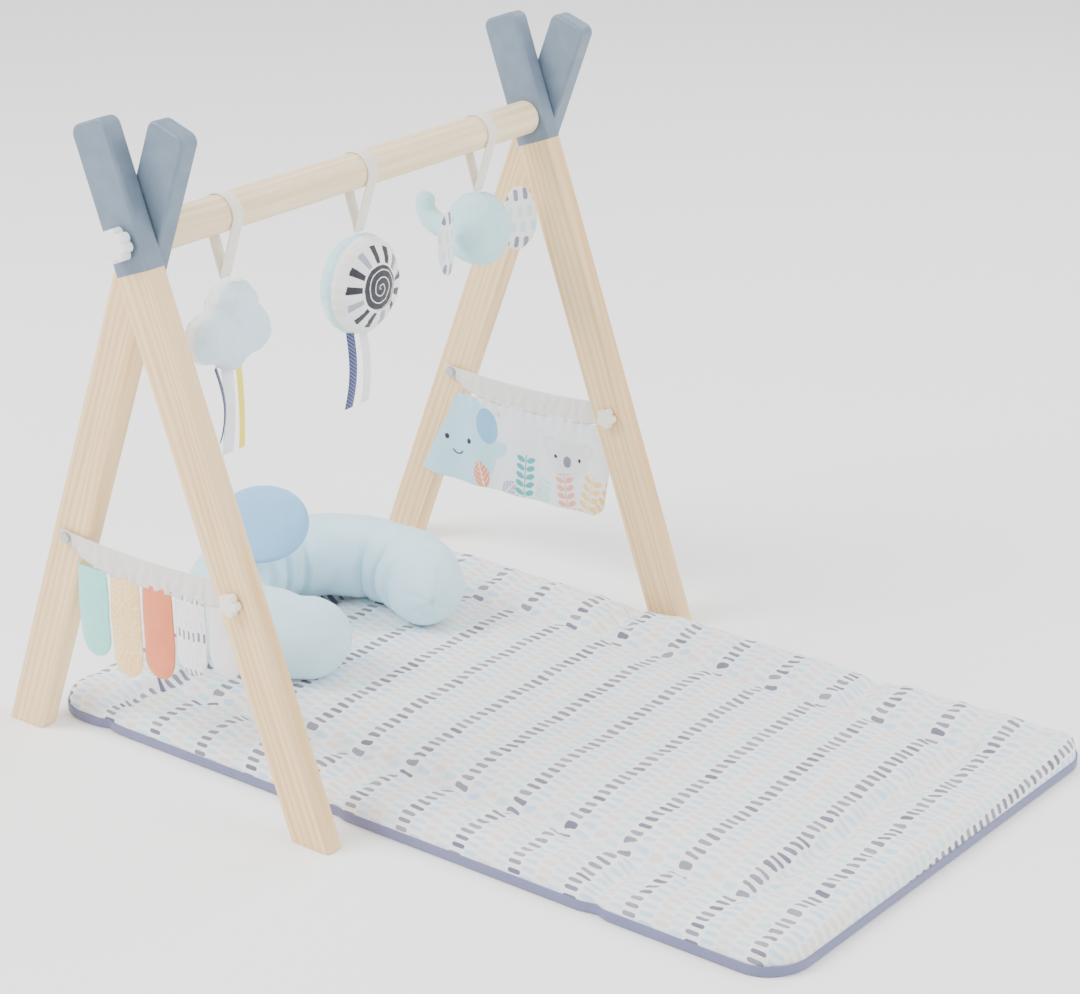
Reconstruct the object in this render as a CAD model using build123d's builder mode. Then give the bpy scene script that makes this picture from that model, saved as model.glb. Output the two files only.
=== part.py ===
from build123d import *
from math import cos, radians, sin, tan
import os

# A baby's activity play gym: two crossed-leg wooden frames, a hanging bar with three soft toys,
# two fabric side panels, a quilted floor mat and a curved tummy-time bolster.
#
# Millimetres, +Z up. The origin is on the floor, under the middle of the bar. +Y runs along the bar
# from the near frame to the far one, and +X runs along the mat towards its long end.

# Wooden frames
cross_height = 500.0        # floor to the bolt where a frame's two legs cross
lean = 20.0                 # each leg's lean from the vertical, in degrees
leg_width = 40.0
leg_thickness = 20.0
leg_above_cross = 102.0     # length of each leg beyond the bolt
leg_corner = 9.0            # rounding of the two top corners
leg_edge = 3.0              # rounding of the long edges
frame_spacing = 562.0       # between the planes where the legs of each frame meet
leg_gap = 0.3               # washer space between a frame's two legs

# Crossbar and its fastenings
bar_diameter = 33.0
bar_edge = 1.5
stud_diameter = 8.0
stud_clearance = 0.1        # radial room round a stud in a leg
thread_fit = 0.05           # radial room round a stud in its insert, and a shank in its nut
insert_diameter = 14.0
insert_length = 25.0
stud_grip = 22.0            # length of stud inside the bar
pilot_depth = 32.0

# Lobed knobs at the two ends of the bar
knob_lobes = 8
knob_lobe_radius = 4.6
knob_lobe_circle = 10.0
knob_core_radius = 11.0
knob_depth = 10.0
knob_edge = 1.8
knob_collar_radius = 8.0
knob_collar_depth = 2.5
knob_gap = 0.3

# Side panel toggles
toggle_height = 208.0
toggle_lobes = 5
toggle_lobe_radius = 4.2
toggle_lobe_circle = 6.2
toggle_core_radius = 6.6
toggle_depth = 7.0
toggle_edge = 1.4
toggle_collar_radius = 5.5
toggle_collar_depth = 1.5
shank_diameter = 6.0
nut_radius = 5.5
nut_sides = 6
nut_depth = 2.4
strap_room = 4.6            # from a leg's face to the nut, with the panel's strap between them

# Side panels
panel_drift = 6.0           # the cloth passes in front of one leg and behind the other
band_thickness = 2.2
band_drop = 26.0
band_top_sag = 6.0
band_end_height = 12.0
band_half_width = 98.0
tab_half_width = 114.0
eyelet_radius = 3.3
feather_count = 5
feather_width = 36.0
feather_pitch = 38.0
feather_thickness = 3.6
feather_lengths = [82.0, 92.0, 84.0, 70.0, 62.0]
feather_names = ["mint", "golden", "coral", "dashed", "plain"]
feather_shift = -2.0
cloth_drop = 98.0
cloth_thickness = 1.6
cloth_left_bottom = 150.0
cloth_right_bottom = 96.0
cloth_corner = 14.0

# Webbing loops and toys
loop_places = [-181.0, 0.0, 182.0]
loop_names = ["cloud", "ball", "elephant"]
loop_width = 13.0
loop_thickness = 1.4
loop_room = 0.4             # between the webbing and the bar
loop_drop = 59.0            # bar axis to the bottom of a loop
toy_gap = 0.3

cloud_lobes = [(-24.0, -48.0, 24.0), (6.0, -30.0, 29.0), (28.0, -52.0, 21.0), (2.0, -56.0, 26.0)]
cloud_depth = 36.0
cloud_edge = 6.0

ball_radius = 48.0
ball_depth = 52.0

head_radius = 34.0
head_height = 74.0
trunk_radius = 10.0
trunk_bend = 20.0
ear_width = 38.0
ear_height = 66.0
ear_thickness = 6.0
ear_room = 2.0              # between the head's widest point and the root of an ear
near_ear_turn = 18.0        # how far each ear is turned from the line of the bar
far_ear_turn = 24.0

ribbon_thickness = 0.9
ribbon_gap = 0.4
cloud_ribbons = [("navy", -17.0, 8.0, 62.0), ("pale", -3.0, 14.0, 76.0), ("yellow", 12.0, 7.0, 76.0)]
ball_ribbons = [("striped", -16.0, 11.0, 68.0), ("white", 2.0, 11.0, 68.0)]

# Quilted mat
mat_back = 180.0            # mat reaches this far behind the bar
mat_near_front = 612.0
mat_far_front = 655.0
mat_half_width = 247.0
mat_corner = 38.0
mat_back_thickness = 4.0
mat_top_thickness = 18.0
mat_top_edge = 8.0

# Curved bolster with its ear flap
bolster_radius = 42.0
bolster_bend = 98.0
bolster_x = -52.0
bolster_y = 2.0
bolster_start = 50.0        # the C runs from this angle round to its end, in degrees
bolster_end = 300.0
flap_centre = (-102.0, -33.0, 136.0)
flap_normal = (0.54, -0.65, 0.54)
flap_width = 94.0
flap_height = 82.0
flap_thickness = 6.0
part_gap = 0.3

os.makedirs("parts", exist_ok=True)

half_spacing = frame_spacing / 2
mat_top = mat_back_thickness + mat_top_thickness
toggle_x = (cross_height - toggle_height) * tan(radians(lean))
inner_face = half_spacing - leg_gap / 2 - leg_thickness
outer_face = half_spacing + leg_gap / 2 + leg_thickness


def save(part, name):
    """Label a finished piece and write it as parts/name.step."""
    part.label = name
    export_step(part, f"parts/{name}.step")


def upright(y):
    """The upright plane across the bar at this y; its normal points towards -Y."""
    return Plane.XZ.offset(-y)


# ---- The four legs -------------------------------------------------------------------------
def leg_point(side, along, across):
    """A point on a leg, measured down the leg from the bolt and sideways from its centreline."""
    x = sin(radians(lean)) * along + across * cos(radians(lean))
    z = cross_height - cos(radians(lean)) * along + across * sin(radians(lean))
    return (side * x, z)


def foot_length(across):
    """How far down the leg the floor is met, on a line this far from the centreline."""
    return (cross_height + across * sin(radians(lean))) / cos(radians(lean))


def make_leg(name, side, back_y):
    """One leg: side +1 has its foot towards +X, side -1 towards -X."""
    half = leg_width / 2
    outline = [
        leg_point(side, -leg_above_cross, -half),
        leg_point(side, -leg_above_cross, half),
        leg_point(side, foot_length(half), half),
        leg_point(side, foot_length(-half), -half),
    ]
    with BuildPart() as leg:
        with BuildSketch(upright(back_y)):
            with BuildLine():
                Polyline(*outline, close=True)
            make_face()
            fillet(vertices().sort_by(Axis.Y)[-2:], radius=leg_corner)
        extrude(amount=leg_thickness)
        broad_faces = leg.faces().filter_by(Axis.Y)
        rims = broad_faces.edges().filter_by(lambda edge: edge.center().Z > leg_edge)
        fillet(rims, radius=leg_edge)
        with BuildSketch(upright(back_y)):
            with Locations((0, cross_height)):
                Circle(stud_diameter / 2 + stud_clearance)
            with Locations((side * toggle_x, toggle_height)):
                Circle(shank_diameter / 2 + stud_clearance)
        extrude(amount=leg_thickness, mode=Mode.SUBTRACT)
    save(leg.part, name)


make_leg("near_outer_leg", 1, -half_spacing - leg_gap / 2)
make_leg("near_inner_leg", -1, -inner_face)
make_leg("far_inner_leg", 1, half_spacing - leg_gap / 2)
make_leg("far_outer_leg", -1, outer_face)

# ---- The round crossbar and the threaded inserts in its ends --------------------------------
bar_near_end = -inner_face + leg_gap
bar_length = inner_face - bar_near_end
with BuildPart() as crossbar:
    with BuildSketch(upright(inner_face)):
        with Locations((0, cross_height)):
            Circle(bar_diameter / 2)
    extrude(amount=bar_length)
    chamfer(crossbar.edges().filter_by(GeomType.CIRCLE), length=bar_edge)
    for end, inward in ((bar_near_end, 1), (inner_face, -1)):
        with BuildSketch(upright(end)):
            with Locations((0, cross_height)):
                Circle(insert_diameter / 2)
        extrude(amount=-inward * insert_length, mode=Mode.SUBTRACT)
        with BuildSketch(upright(end)):
            with Locations((0, cross_height)):
                Circle(stud_diameter / 2 + leg_gap)
        extrude(amount=-inward * pilot_depth, mode=Mode.SUBTRACT)
save(crossbar.part, "crossbar")

with BuildPart() as bar_inserts:
    for end, inward in ((bar_near_end, 1), (inner_face, -1)):
        with BuildSketch(upright(end)):
            with Locations((0, cross_height)):
                Circle(insert_diameter / 2)
                Circle(stud_diameter / 2 + thread_fit, mode=Mode.SUBTRACT)
        extrude(amount=-inward * insert_length)
save(bar_inserts.part, "bar_inserts")


# ---- The lobed knobs and their studs, one at each end of the bar ------------------------------
def make_lobed_cap(name, face_y, outward, x, z, sizes, bore):
    """A lobed cap on a collar, standing out from a leg's face, bored for its stud or shank."""
    lobes, lobe_radius, lobe_circle, core_radius, depth, edge, collar_radius, collar_depth = sizes
    start = face_y + outward * knob_gap
    with BuildPart() as cap:
        with BuildSketch(upright(start + outward * collar_depth)):
            with Locations((x, z)):
                Circle(core_radius)
                with PolarLocations(lobe_circle, lobes):
                    Circle(lobe_radius)
        extrude(amount=-outward * depth)
        outer_rim = cap.faces().sort_by(Axis.Y)[-1 if outward > 0 else 0].edges()
        fillet(outer_rim, radius=edge)
        with BuildSketch(upright(start)):
            with Locations((x, z)):
                Circle(collar_radius)
        extrude(amount=-outward * collar_depth)
        with BuildSketch(upright(start)):
            with Locations((x, z)):
                Circle(bore / 2)
        extrude(amount=-outward * (collar_depth + depth / 2), mode=Mode.SUBTRACT)
    save(cap.part, name)


knob_sizes = (knob_lobes, knob_lobe_radius, knob_lobe_circle, knob_core_radius, knob_depth,
              knob_edge, knob_collar_radius, knob_collar_depth)
stud_outer = outer_face + knob_gap + knob_collar_depth + knob_depth / 2
stud_inner = inner_face - stud_grip
for end_name, outward in (("near", -1), ("far", 1)):
    make_lobed_cap(f"{end_name}_knob", outward * outer_face, outward, 0, cross_height,
                   knob_sizes, stud_diameter + 2 * thread_fit)
    with BuildPart() as stud:
        with BuildSketch(upright(outward * stud_outer)):
            with Locations((0, cross_height)):
                Circle(stud_diameter / 2)
        extrude(amount=outward * (stud_outer - stud_inner))
    save(stud.part, f"{end_name}_knob_stud")

# ---- The four toggles that hold the side panels, and the nuts on their shanks ------------------
toggle_sizes = (toggle_lobes, toggle_lobe_radius, toggle_lobe_circle, toggle_core_radius,
                toggle_depth, toggle_edge, toggle_collar_radius, toggle_collar_depth)
toggles = {
    "near_outer": (-outer_face, -1, toggle_x),
    "near_inner": (-inner_face, 1, -toggle_x),
    "far_inner": (inner_face, -1, toggle_x),
    "far_outer": (outer_face, 1, -toggle_x),
}
for leg_name, (face_y, outward, x) in toggles.items():
    make_lobed_cap(f"{leg_name}_toggle", face_y, outward, x, toggle_height,
                   toggle_sizes, shank_diameter)
    cap_end = face_y + outward * (knob_gap + toggle_collar_depth + toggle_depth / 2)
    strap_face = face_y - outward * leg_thickness
    nut_start = strap_face - outward * strap_room
    with BuildPart() as shank:
        with BuildSketch(upright(cap_end)):
            with Locations((x, toggle_height)):
                Circle(shank_diameter / 2)
        extrude(amount=outward * (abs(cap_end - nut_start) + nut_depth))
    save(shank.part, f"{leg_name}_toggle_shank")
    with BuildPart() as nut:
        with BuildSketch(upright(nut_start)):
            with Locations((x, toggle_height)):
                RegularPolygon(nut_radius, nut_sides)
                Circle(shank_diameter / 2 + thread_fit, mode=Mode.SUBTRACT)
        extrude(amount=outward * nut_depth)
    save(nut.part, f"{leg_name}_toggle_nut")


# ---- Side panels: a gathered band between two toggles, with feathers or a cloth below -----------
def panel_plane(middle_y, thickness):
    """The panel's slanting upright plane, half a cloth's thickness behind its middle."""
    along = Vector(2 * toggle_x, panel_drift, 0).normalized()
    normal = Vector(along.Y, -along.X, 0)
    origin = Vector(0, middle_y, 0) - normal * (thickness / 2)
    return Plane(origin=origin, x_dir=along, z_dir=normal)


def make_band(name, middle_y):
    """The band: its top edge sags between the toggles, and a tab with an eyelet ends each side."""
    top = toggle_height + band_end_height / 2
    with BuildPart() as band:
        with BuildSketch(panel_plane(middle_y, band_thickness)):
            with BuildLine():
                ThreePointArc((-tab_half_width, top), (0, top - band_top_sag), (tab_half_width, top))
                Line((tab_half_width, top), (tab_half_width, top - band_end_height))
                Line((tab_half_width, top - band_end_height), (band_half_width, top - band_end_height))
                ThreePointArc((band_half_width, top - band_end_height),
                              (0, top - band_drop - band_top_sag),
                              (-band_half_width, top - band_end_height))
                Line((-band_half_width, top - band_end_height), (-tab_half_width, top - band_end_height))
                Line((-tab_half_width, top - band_end_height), (-tab_half_width, top))
            make_face()
            with Locations((-toggle_x, toggle_height), (toggle_x, toggle_height)):
                Circle(eyelet_radius, mode=Mode.SUBTRACT)
        extrude(amount=band_thickness)
    save(band.part, name)


make_band("near_panel_band", -half_spacing)
make_band("far_panel_band", half_spacing)

# The feathers hang from the near band, side by side: tongues with a round lower end.
feather_top = toggle_height + band_end_height / 2 - band_top_sag - band_drop - part_gap
for index, (feather_name, length) in enumerate(zip(feather_names, feather_lengths)):
    middle = (index - (feather_count - 1) / 2) * feather_pitch + feather_shift
    with BuildPart() as feather:
        with BuildSketch(panel_plane(-half_spacing, feather_thickness)):
            with Locations((middle, feather_top - length / 2)):
                RectangleRounded(feather_width, length, feather_width / 2 - part_gap)
        extrude(amount=feather_thickness)
    save(feather.part, f"{feather_name}_feather")

with BuildPart() as far_panel_cloth:
    with BuildSketch(panel_plane(half_spacing, cloth_thickness)):
        with BuildLine():
            Polyline(
                (-band_half_width, feather_top),
                (band_half_width, feather_top),
                (cloth_right_bottom, feather_top - cloth_drop),
                (-cloth_left_bottom, feather_top - cloth_drop),
                close=True,
            )
        make_face()
        fillet(vertices().sort_by(Axis.Y)[:2], radius=cloth_corner)
    extrude(amount=cloth_thickness)
save(far_panel_cloth.part, "far_panel_cloth")


# ---- Webbing loops round the bar ----------------------------------------------------------------
def loop_outline(y, ring_radius, tip_radius):
    """A teardrop: a ring round the bar drawn down to a small tip, as straight tangents."""
    with BuildSketch(upright(y), mode=Mode.PRIVATE) as outline:
        with Locations((0, cross_height)):
            Circle(ring_radius)
        with Locations((0, cross_height - loop_drop + loop_thickness + 1)):
            Circle(tip_radius)
        make_hull()
    return outline.sketch


for loop_name, place in zip(loop_names, loop_places):
    inside = bar_diameter / 2 + loop_room
    with BuildPart() as loop:
        extrude(loop_outline(place + loop_width / 2, inside + loop_thickness, loop_thickness + 1),
                amount=loop_width)
        extrude(loop_outline(place + loop_width / 2, inside, 1),
                amount=loop_width, mode=Mode.SUBTRACT)
    save(loop.part, f"{loop_name}_loop")

# ---- Cloud toy and its ribbons --------------------------------------------------------------------
toy_top = cross_height - loop_drop - toy_gap
across_bar = Plane.YZ


def make_ribbons(toy_name, ribbons, place, top):
    """Flat ribbons sewn under a toy, each in a plane across the bar."""
    for ribbon_name, offset_y, width, length in ribbons:
        with BuildPart() as ribbon:
            with BuildSketch(across_bar.offset(-ribbon_thickness / 2)):
                with Locations((place + offset_y, top - length / 2)):
                    Rectangle(width, length)
            extrude(amount=ribbon_thickness)
        save(ribbon.part, f"{toy_name}_{ribbon_name}_ribbon")


cloud_place, ball_place, elephant_place = loop_places
with BuildPart() as cloud:
    with BuildSketch(across_bar.offset(-cloud_depth / 2)):
        for lobe_y, lobe_z, lobe_radius in cloud_lobes:
            with Locations((cloud_place + lobe_y, toy_top + lobe_z)):
                Circle(lobe_radius)
    extrude(amount=cloud_depth)
    chamfer(cloud.faces().filter_by(Axis.X).edges(), length=cloud_edge)
save(cloud.part, "cloud_toy")
cloud_bottom = toy_top - 82
make_ribbons("cloud", cloud_ribbons, cloud_place, cloud_bottom - ribbon_gap)

# ---- Ball toy and its ribbons ---------------------------------------------------------------------
ball_height = toy_top - ball_radius
with BuildPart() as ball:
    with Locations((0, ball_place, ball_height)):
        Sphere(ball_radius)
    scale(by=(ball_depth / 2 / ball_radius, 1, 1))
save(ball.part, "ball_toy")
make_ribbons("ball", ball_ribbons, ball_place, ball_height - ball_radius - ribbon_gap)

# ---- Elephant toy: head, curled trunk and two flat ears --------------------------------------------
head_middle = toy_top - head_height / 2
with BuildPart() as head:
    with BuildSketch(Plane.XZ.offset(-elephant_place)):
        with Locations((0, head_middle)):
            Ellipse(head_radius, head_height / 2)
            with Locations((-head_radius, 0)):
                Rectangle(2 * head_radius, head_height, mode=Mode.SUBTRACT)
    revolve(axis=Axis((0, elephant_place, head_middle), (0, 0, 1)))
save(head.part, "elephant_head")

trunk_start = -head_radius - trunk_radius / 2
with BuildPart() as trunk:
    with BuildLine(Plane.XZ.offset(-elephant_place)):
        CenterArc((trunk_start, head_middle + trunk_bend - 4), trunk_bend, 180, 90)
    with BuildSketch(Plane((trunk_start, elephant_place, head_middle - 4), z_dir=(1, 0, 0))):
        Circle(trunk_radius)
    sweep()
    with Locations((trunk_start - trunk_bend, elephant_place, head_middle + trunk_bend - 4)):
        Sphere(trunk_radius)
    with Locations((0, elephant_place, head_middle)):
        Cylinder(head_radius + 6, 2 * head_height, mode=Mode.SUBTRACT)
save(trunk.part, "elephant_trunk")


def make_ear(name, side, turn):
    """A flat oval ear, hinged at the side of the head and swung towards +X by its turn."""
    root = (0, elephant_place + side * (head_radius + ear_room))
    outward = Vector(sin(radians(turn)), side * cos(radians(turn)), 0)
    normal = Vector(outward.Y, -outward.X, 0)
    middle = Vector(root[0], root[1], head_middle) + outward * (ear_width / 2)
    with BuildPart() as ear:
        with BuildSketch(Plane(middle - normal * (ear_thickness / 2), x_dir=outward, z_dir=normal)):
            Ellipse(ear_width / 2, ear_height / 2)
        extrude(amount=ear_thickness)
    save(ear.part, name)


make_ear("elephant_near_ear", -1, near_ear_turn)
make_ear("elephant_far_ear", 1, far_ear_turn)


# ---- Quilted mat: a coloured backing under a puffy printed top ---------------------------------------
def mat_outline():
    """The mat seen from above, with its long end a little out of square."""
    with BuildSketch(mode=Mode.PRIVATE) as outline:
        with BuildLine():
            Polyline(
                (-mat_back, -mat_half_width),
                (mat_near_front, -mat_half_width),
                (mat_far_front, mat_half_width),
                (-mat_back, mat_half_width),
                close=True,
            )
        make_face()
        fillet(outline.vertices(), radius=mat_corner)
    return outline.sketch


with BuildPart() as mat_backing:
    extrude(mat_outline(), amount=mat_back_thickness)
save(mat_backing.part, "mat_backing")

with BuildPart() as mat_quilt:
    extrude(Plane.XY.offset(mat_back_thickness) * mat_outline(), amount=mat_top_thickness)
    fillet(mat_quilt.faces().sort_by(Axis.Z)[-1].edges(), radius=mat_top_edge)
save(mat_quilt.part, "mat_quilt")

# ---- Bolster: a round tube bent into a C, open towards +X, with an ear flap ---------------------------
bolster_middle = mat_top + part_gap + bolster_radius


def on_bend(angle):
    """The point of the bolster's centreline at this angle round the bend."""
    return (
        bolster_x + bolster_bend * cos(radians(angle)),
        bolster_y + bolster_bend * sin(radians(angle)),
        bolster_middle,
    )


with BuildPart() as bolster:
    arm = Vector(cos(radians(bolster_start)), sin(radians(bolster_start)), 0)
    with BuildSketch(Plane(on_bend(bolster_start), x_dir=arm, z_dir=(arm.Y, -arm.X, 0))):
        Circle(bolster_radius)
    revolve(axis=Axis((bolster_x, bolster_y, 0), (0, 0, 1)),
            revolution_arc=bolster_end - bolster_start)
    with Locations(on_bend(bolster_start), on_bend(bolster_end)):
        Sphere(bolster_radius)
save(bolster.part, "tummy_bolster")

with BuildPart() as flap:
    across = Vector(0, 0, 1).cross(Vector(*flap_normal)).normalized()
    with BuildSketch(Plane(flap_centre, x_dir=across, z_dir=flap_normal)):
        Ellipse(flap_width / 2, flap_height / 2)
    extrude(amount=flap_thickness / 2, both=True)
save(flap.part, "bolster_ear")
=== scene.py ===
import bpy
from functools import partial
from math import atan2, cos, exp, pi, radians, sin, sqrt
from mathutils import Matrix, Vector, noise


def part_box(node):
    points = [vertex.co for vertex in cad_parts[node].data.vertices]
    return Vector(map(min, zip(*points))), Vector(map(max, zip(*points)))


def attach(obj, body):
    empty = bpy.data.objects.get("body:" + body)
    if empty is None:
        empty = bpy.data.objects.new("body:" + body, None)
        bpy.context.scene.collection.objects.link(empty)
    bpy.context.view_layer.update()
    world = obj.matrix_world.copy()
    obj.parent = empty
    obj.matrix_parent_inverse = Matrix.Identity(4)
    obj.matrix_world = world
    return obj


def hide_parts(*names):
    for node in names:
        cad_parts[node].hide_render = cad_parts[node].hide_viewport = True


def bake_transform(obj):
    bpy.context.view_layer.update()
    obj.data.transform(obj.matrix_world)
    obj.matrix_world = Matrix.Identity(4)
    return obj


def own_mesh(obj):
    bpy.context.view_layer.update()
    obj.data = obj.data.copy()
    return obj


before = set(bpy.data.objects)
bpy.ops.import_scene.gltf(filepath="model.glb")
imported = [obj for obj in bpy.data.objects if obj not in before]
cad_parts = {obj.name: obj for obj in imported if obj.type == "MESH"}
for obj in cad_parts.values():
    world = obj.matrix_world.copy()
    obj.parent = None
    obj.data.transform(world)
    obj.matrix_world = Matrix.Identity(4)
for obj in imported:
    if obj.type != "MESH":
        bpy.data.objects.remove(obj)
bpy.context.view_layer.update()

bpy.ops.object.select_all(action="DESELECT")


# ---- Room: pale floor, soft light, camera -----------------------------------------------------
# The gym stands on a plain pale floor that runs on past the view, under broad soft lights.
# The camera looks down a little, from the near side and towards the mat's long end.
def grey_floor():
    floor_finish = bpy.data.materials.new("floor_white")
    floor_finish.use_nodes = True
    shader = floor_finish.node_tree.nodes["Principled BSDF"]
    shader.inputs["Base Color"].default_value = (0.97, 0.97, 0.97, 1)
    shader.inputs["Roughness"].default_value = 0.9
    return floor_finish


floor_size = 30.0
bpy.ops.mesh.primitive_plane_add(size=floor_size, location=(0, 0, -0.0006))
floor = bpy.context.object
floor.name = "studio_floor"
floor.data.materials.append(grey_floor())

world = bpy.data.worlds.new("studio_air")
bpy.context.scene.world = world
world.use_nodes = True
world.node_tree.nodes["Background"].inputs["Color"].default_value = (1, 1, 1, 1)
world.node_tree.nodes["Background"].inputs["Strength"].default_value = 1.35

for lamp_name, place, size, power in (
    ("window_light", (-1.6, -1.8, 2.6), 1.8, 150),
    ("fill_light", (2.8, 0.6, 2.2), 2.0, 70),
    ("back_light", (0.2, 2.6, 2.4), 2.0, 36),
):
    bpy.ops.object.light_add(type="AREA", location=place)
    lamp = bpy.context.object
    lamp.name = lamp_name
    lamp.data.size = size
    lamp.data.energy = power
    aim = Vector((0.15, 0, 0.2)) - Vector(place)
    lamp.rotation_euler = aim.to_track_quat("-Z", "Y").to_euler()

camera_place = Vector((1.3832, -1.6740, 1.0598))
camera_bearing = radians(125.12)
camera_dip = radians(-22.07)
camera_roll = radians(0.65)
bpy.ops.object.camera_add(location=camera_place)
camera = bpy.context.object
camera.name = "view_camera"
camera.data.lens = 81.55
camera.data.sensor_width = 36
look = Vector((cos(camera_bearing) * cos(camera_dip), sin(camera_bearing) * cos(camera_dip),
               sin(camera_dip)))
turned = look.to_track_quat("-Z", "Y").to_matrix() @ Matrix.Rotation(camera_roll, 3, "Z")
camera.rotation_euler = turned.to_euler()
bpy.context.scene.camera = camera


# ---- Legs: flat pine timber, tops painted blue-grey -------------------------------------------
# Four planed pine legs with rounded edges, bolted in crossed pairs. The part above the crossing
# is dipped in blue-grey paint to a straight line square to the leg.
def links(material):
    """The material's nodes, its links and its main shader."""
    material.use_nodes = True
    tree = material.node_tree
    return tree.nodes, tree.links, tree.nodes["Principled BSDF"]


def ramp(nodes, link, share, stops):
    """The colour that a ramp with these (place, colour) stops gives for a share."""
    node = nodes.new("ShaderNodeValToRGB")
    while len(node.color_ramp.elements) < len(stops):
        node.color_ramp.elements.new(0.5)
    for element, (place, colour) in zip(node.color_ramp.elements, stops):
        element.position = place
        element.color = (*colour, 1)
    link.new(share, node.inputs[0])
    return node.outputs[0]


def maths(nodes, link, operation, first, second=None, clamp=False):
    """One Math node on two sockets or numbers, and its result."""
    node = nodes.new("ShaderNodeMath")
    node.operation = operation
    node.use_clamp = clamp
    for socket, value in zip(node.inputs, (first, second)):
        if isinstance(value, (int, float)):
            socket.default_value = value
        elif value is not None:
            link.new(value, socket)
    return node.outputs[0]


def mixed(nodes, link, share, first, second, blend="MIX"):
    """A colour mixed from two colours or sockets by a share."""
    node = nodes.new("ShaderNodeMix")
    node.data_type = "RGBA"
    node.blend_type = blend
    for socket, value in ((node.inputs[0], share), (node.inputs[6], first), (node.inputs[7], second)):
        if isinstance(value, tuple):
            socket.default_value = (*value, 1)
        elif isinstance(value, (int, float)):
            socket.default_value = value
        else:
            link.new(value, socket)
    return node.outputs[2]


def texture(nodes, link, kind, vector, **settings):
    """A texture or mapping node on a vector, with its choices and its inputs set."""
    node = nodes.new(f"ShaderNode{kind}")
    for key, value in settings.items():
        socket = node.inputs.get(key.replace("_", " ").title())
        if socket is None:
            setattr(node, key, value)
        else:
            socket.default_value = value
    link.new(vector, node.inputs["Vector"])
    return node


def bump(nodes, link, shader, height, distance, strength):
    """Fine relief on the shader from a height socket."""
    node = nodes.new("ShaderNodeBump")
    node.inputs["Distance"].default_value = distance
    node.inputs["Strength"].default_value = strength
    link.new(height, node.inputs["Height"])
    link.new(node.outputs[0], shader.inputs["Normal"])


def pine(name, turn, pivot, seed, light, dark, painted_above=None):
    """Planed pine whose grain runs along local Z after the turn about the pivot."""
    wood = bpy.data.materials.new(name)
    nodes, link, shader = links(wood)
    calc, node_on = partial(maths, nodes, link), partial(texture, nodes, link)
    place = nodes.new("ShaderNodeTexCoord").outputs["Object"]
    along = node_on("Mapping", place, vector_type="TEXTURE", location=pivot, rotation=turn).outputs[0]
    grain = node_on("Mapping", along, location=(seed * 3.1, seed * 1.7, seed), scale=(1, 1, 0.055))
    bend = node_on("TexNoise", grain.outputs[0], scale=38, detail=3)
    rings = node_on("TexWave", grain.outputs[0], bands_direction="X", scale=44, distortion=7,
                    detail=2.5, detail_scale=1.3)
    share = calc("ADD", calc("MULTIPLY", rings.outputs["Fac"], 0.38),
                 calc("MULTIPLY", bend.outputs["Fac"], 0.75))
    middle = tuple((a + b) / 2 for a, b in zip(light, dark))
    tint = ramp(nodes, link, share, ((0.28, light), (0.62, middle), (0.92, dark)))
    streaks = node_on("Mapping", along, scale=(1, 1, 0.02))
    fibre = node_on("TexNoise", streaks.outputs[0], scale=620, detail=4).outputs["Fac"]
    shade = ramp(nodes, link, fibre, ((0.3, (0.90, 0.90, 0.90)), (0.7, (1.04, 1.04, 1.04))))
    colour = mixed(nodes, link, 1, tint, shade, "MULTIPLY")
    bump(nodes, link, shader, fibre, 0.00025, 0.35)
    if painted_above is not None:
        parts = nodes.new("ShaderNodeSeparateXYZ")
        link.new(along, parts.inputs[0])
        painted = calc("GREATER_THAN", parts.outputs["Z"], painted_above)
        mottle = node_on("TexNoise", place, scale=60)
        paint = ramp(nodes, link, mottle.outputs["Fac"],
                     ((0.35, (0.128, 0.176, 0.236)), (0.65, (0.150, 0.202, 0.266))))
        colour = mixed(nodes, link, painted, colour, paint)
    link.new(colour, shader.inputs["Base Color"])
    shader.inputs["Roughness"].default_value = 0.5
    shader.inputs["Coat Weight"].default_value = 0.12
    shader.inputs["Coat Roughness"].default_value = 0.35
    return wood


def corners(node_name):
    """The low and high corners of a CAD node's box."""
    return [Vector(corner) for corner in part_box(node_name)]


def refinish(node_name, material):
    """Give a CAD node this material in place of its own."""
    surface = bpy.data.objects[node_name].data
    surface.materials.clear()
    surface.materials.append(material)


bar_low, bar_high = corners("crossbar")
cross_height = (bar_low.z + bar_high.z) / 2
lean = radians(20)
paint_drop = 0.0263
pine_light, pine_dark = (0.90, 0.67, 0.38), (0.76, 0.47, 0.20)
for order, (leg, side) in enumerate((("near_outer_leg", 1), ("near_inner_leg", -1),
                                     ("far_inner_leg", 1), ("far_outer_leg", -1))):
    wood = pine(f"{leg}_pine", (0, -side * lean, 0), (0, 0, cross_height), order + 1,
                pine_light, pine_dark, painted_above=-paint_drop)
    refinish(leg, wood)

# ---- Crossbar: a paler pine dowel -------------------------------------------------------------
# A round sanded dowel between the frames, with a chamfer on each end.
bar_wood = pine("crossbar_pine", (radians(90), 0, 0), (0, 0, cross_height), 7,
                (0.92, 0.76, 0.51), (0.82, 0.60, 0.34))
refinish("crossbar", bar_wood)


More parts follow.
